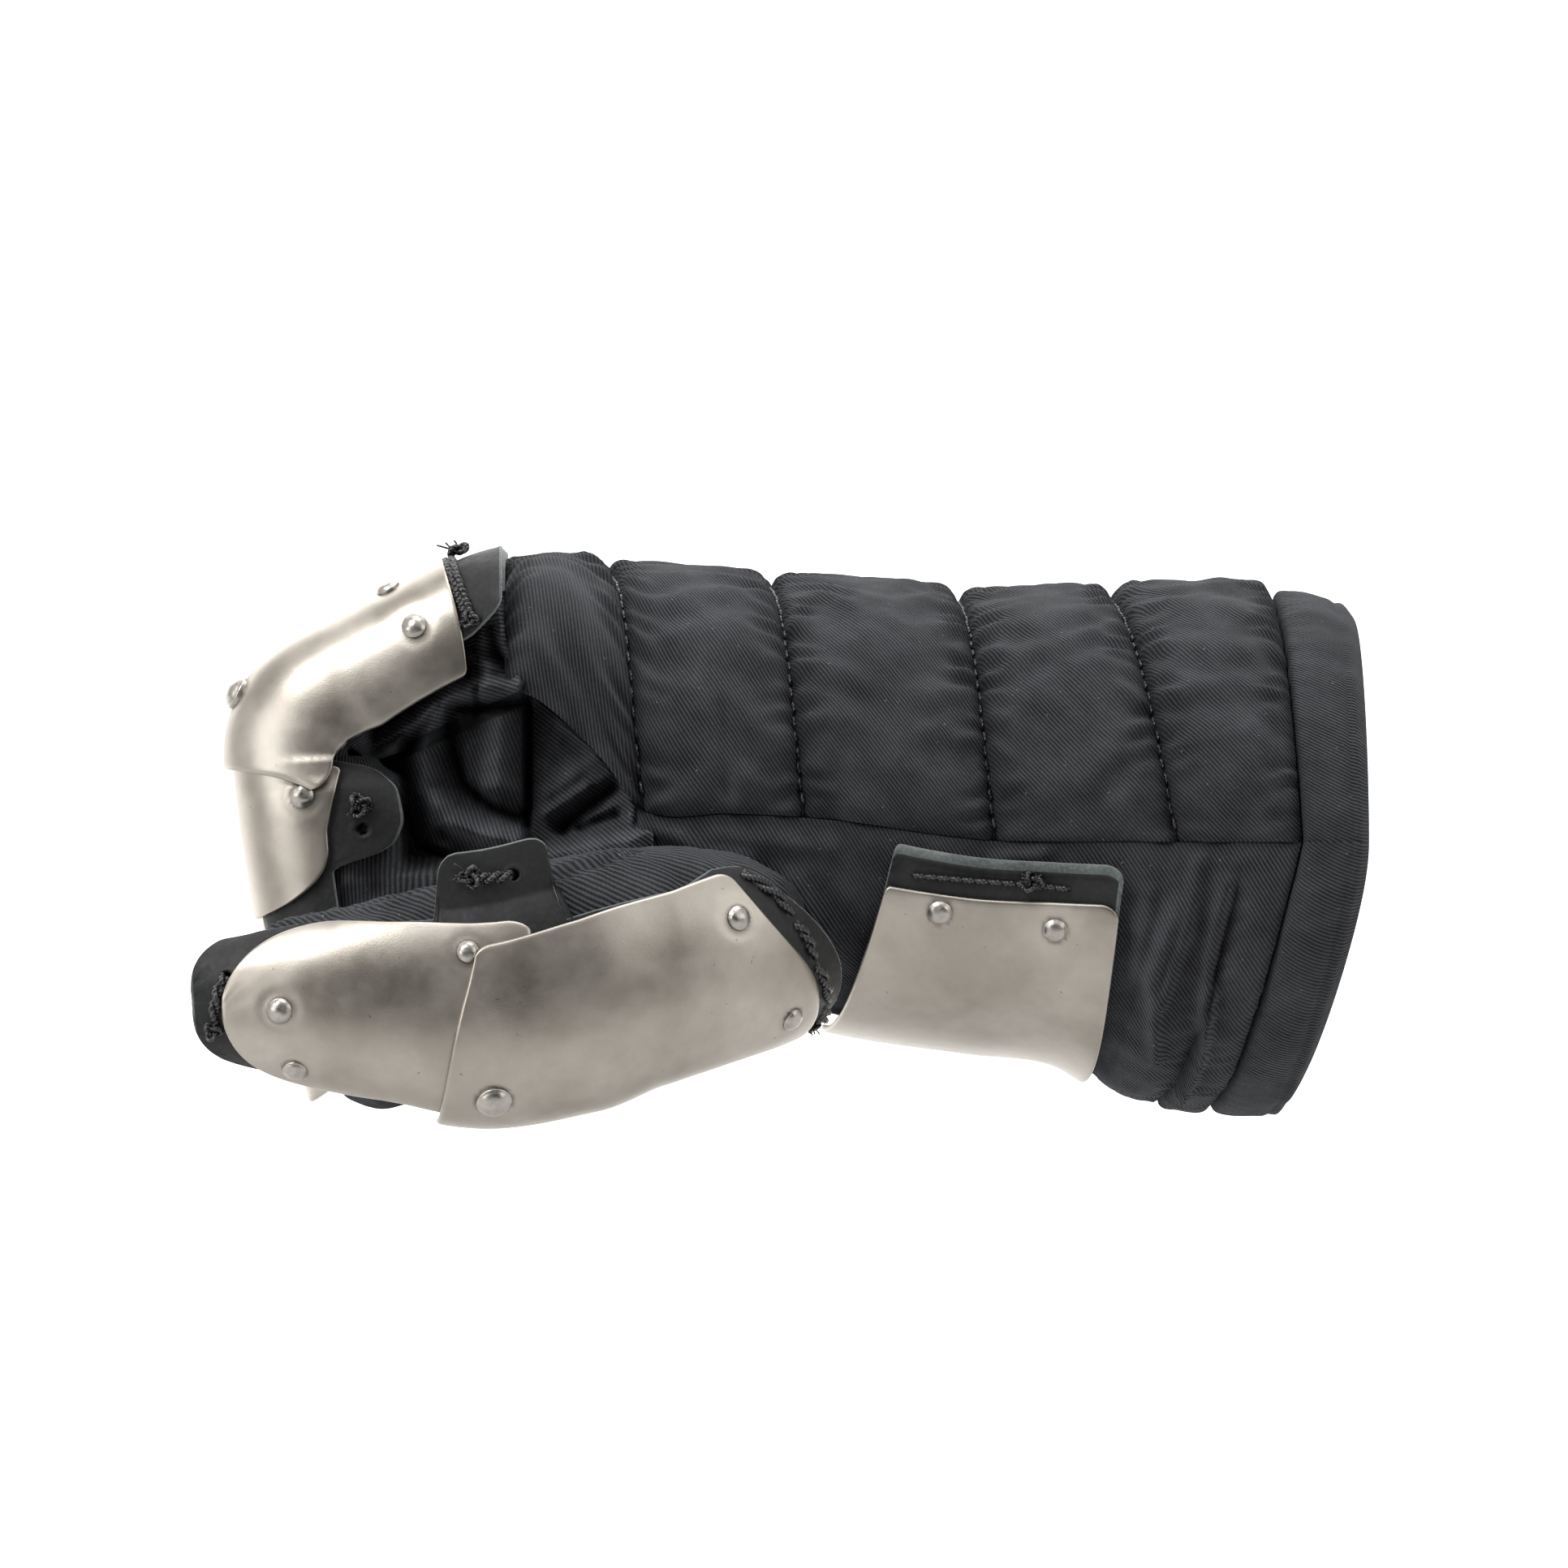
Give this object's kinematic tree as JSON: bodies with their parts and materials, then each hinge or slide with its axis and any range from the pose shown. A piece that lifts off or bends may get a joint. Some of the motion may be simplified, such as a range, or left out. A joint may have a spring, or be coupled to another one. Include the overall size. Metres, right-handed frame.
{
  "type": "armoured gauntlet",
  "caption": "Padded cloth gauntlet for the right hand, closed in a fist, with curved steel plates riveted to leather strips over the fingers and the thumb.",
  "frame": {"origin": "centre of the cuff's mouth, where the wrist goes in", "axes": "+X along the forearm, out of the cuff; +Z towards the back of the hand; -Y towards the thumb's side"},
  "size_m": [0.2052, 0.1511, 0.1007],
  "materials": {
    "cotton_twill": "near-black cotton twill, quilted over padding",
    "leather": "charcoal grained leather with green-grey cut edges",
    "steel_plate": "satin stainless steel with a fine mottle"
  },
  "bodies": {
    "root": {"index_stall": "cotton_twill", "middle_stall": "cotton_twill", "ring_stall": "cotton_twill", "little_stall": "cotton_twill", "palm_panel": "cotton_twill", "thumb_stall": "cotton_twill", "quilted_back": "cotton_twill", "cuff_binding": "cotton_twill", "index_near_plate": "steel_plate", "index_far_plate": "steel_plate", "index_leather": "leather", "middle_near_plate": "steel_plate", "middle_far_plate": "steel_plate", "middle_leather": "leather", "ring_near_plate": "steel_plate", "ring_far_plate": "steel_plate", "ring_leather": "leather", "little_near_plate": "steel_plate", "little_far_plate": "steel_plate", "little_leather": "leather", "thumb_tip_plate": "steel_plate", "thumb_knuckle_plate": "steel_plate", "thumb_leather": "leather", "thumb_base_plate": "steel_plate", "thumb_base_leather": "leather"}
  },
  "joints": []
}
